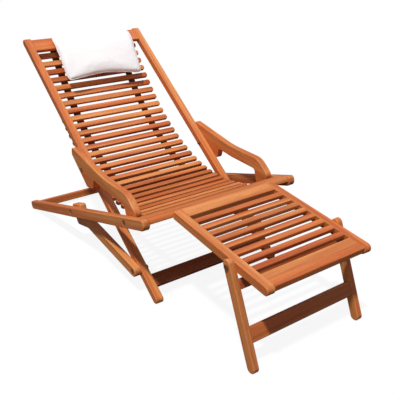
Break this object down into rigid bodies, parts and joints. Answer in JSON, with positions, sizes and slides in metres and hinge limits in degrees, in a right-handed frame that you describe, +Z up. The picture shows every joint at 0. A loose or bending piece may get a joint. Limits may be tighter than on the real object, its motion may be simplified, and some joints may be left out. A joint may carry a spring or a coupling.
{
  "type": "deck chair",
  "caption": "Folding slatted wooden deck chair with a curved slat sling, shaped armrests, hooked reclining links, pull-off footrest on folding legs and a head pillow.",
  "frame": {"origin": "on the ground under the centre of the chair's box", "axes": "+X towards the footrest, +Y to the sitter's left, +Z up"},
  "size_m": [1.3748, 0.6, 0.717],
  "materials": {
    "hardwood": "oiled",
    "webbing": "woven",
    "pillow_cover": "woven cotton",
    "hardware": "satin"
  },
  "bodies": {
    "seat_frame": {"seat_rail_left": "hardwood", "seat_rail_right": "hardwood", "rear_stretcher": "hardwood", "seat_front_board": "hardwood", "seat_slats": "hardwood", "seat_strap_left": "webbing", "seat_strap_right": "webbing", "seat_strap_screws": "hardware", "arm_front_bolts": "hardware", "arm_front_nuts": "hardware", "hook_bolts": "hardware"},
    "armrests": {"armrest_left": "hardwood", "armrest_right": "hardwood"},
    "back_frame": {"back_rail_left": "hardwood", "back_rail_right": "hardwood", "head_board": "hardwood", "back_lower_stretcher": "hardwood", "back_slats": "hardwood", "back_strap_left": "webbing", "back_strap_right": "webbing", "head_strap_screws": "hardware", "head_pillow": "pillow_cover", "arm_rear_bolts": "hardware", "arm_rear_nuts": "hardware", "link_bolts": "hardware", "link_nuts": "hardware"},
    "lock_link_left": {"lock_link_left": "hardwood"},
    "lock_link_right": {"lock_link_right": "hardwood"},
    "footrest_frame": {"footrest_rail_left": "hardwood", "footrest_rail_right": "hardwood", "footrest_rear_board": "hardwood", "footrest_front_board": "hardwood", "footrest_slats": "hardwood", "footrest_pins": "hardware", "leg_bolts": "hardware", "leg_inserts": "hardware"},
    "footrest_legs": {"footrest_leg_left": "hardwood", "footrest_leg_right": "hardwood", "leg_crossbar": "hardwood", "leg_stretcher": "hardwood"}
  },
  "joints": [
    {"name": "arm_fold", "type": "hinge", "parent": "seat_frame", "child": "armrests", "pos_m": [0.14558, 0, 0.26729], "axis": [0, -1, 0], "range_deg": [0, 23.5]},
    {"name": "back_fold", "type": "hinge", "parent": "armrests", "child": "back_frame", "pos_m": [-0.19007, 0, 0.32405], "axis": [0, 1, 0], "range_deg": [0, 131.5]},
    {"name": "left_link_lift", "type": "hinge", "parent": "back_frame", "child": "lock_link_left", "pos_m": [0.13764, 0, 0.08067], "axis": [0, 1, 0], "range_deg": [0, 8]},
    {"name": "right_link_lift", "type": "hinge", "parent": "back_frame", "child": "lock_link_right", "pos_m": [0.13764, 0, 0.08067], "axis": [0, 1, 0], "range_deg": [0, 8]},
    {"name": "footrest_pull", "type": "slide", "parent": "seat_frame", "child": "footrest_frame", "axis": [1, 0, 0], "range_m": [0, 0.06]},
    {"name": "leg_fold", "type": "hinge", "parent": "footrest_frame", "child": "footrest_legs", "pos_m": [0.54687, 0, 0.27676], "axis": [0, 1, 0], "range_deg": [0, 96]}
  ],
  "couplings": [
    {"joint": "arm_fold", "follows": "back_fold", "ratio": 0.17871}
  ]
}
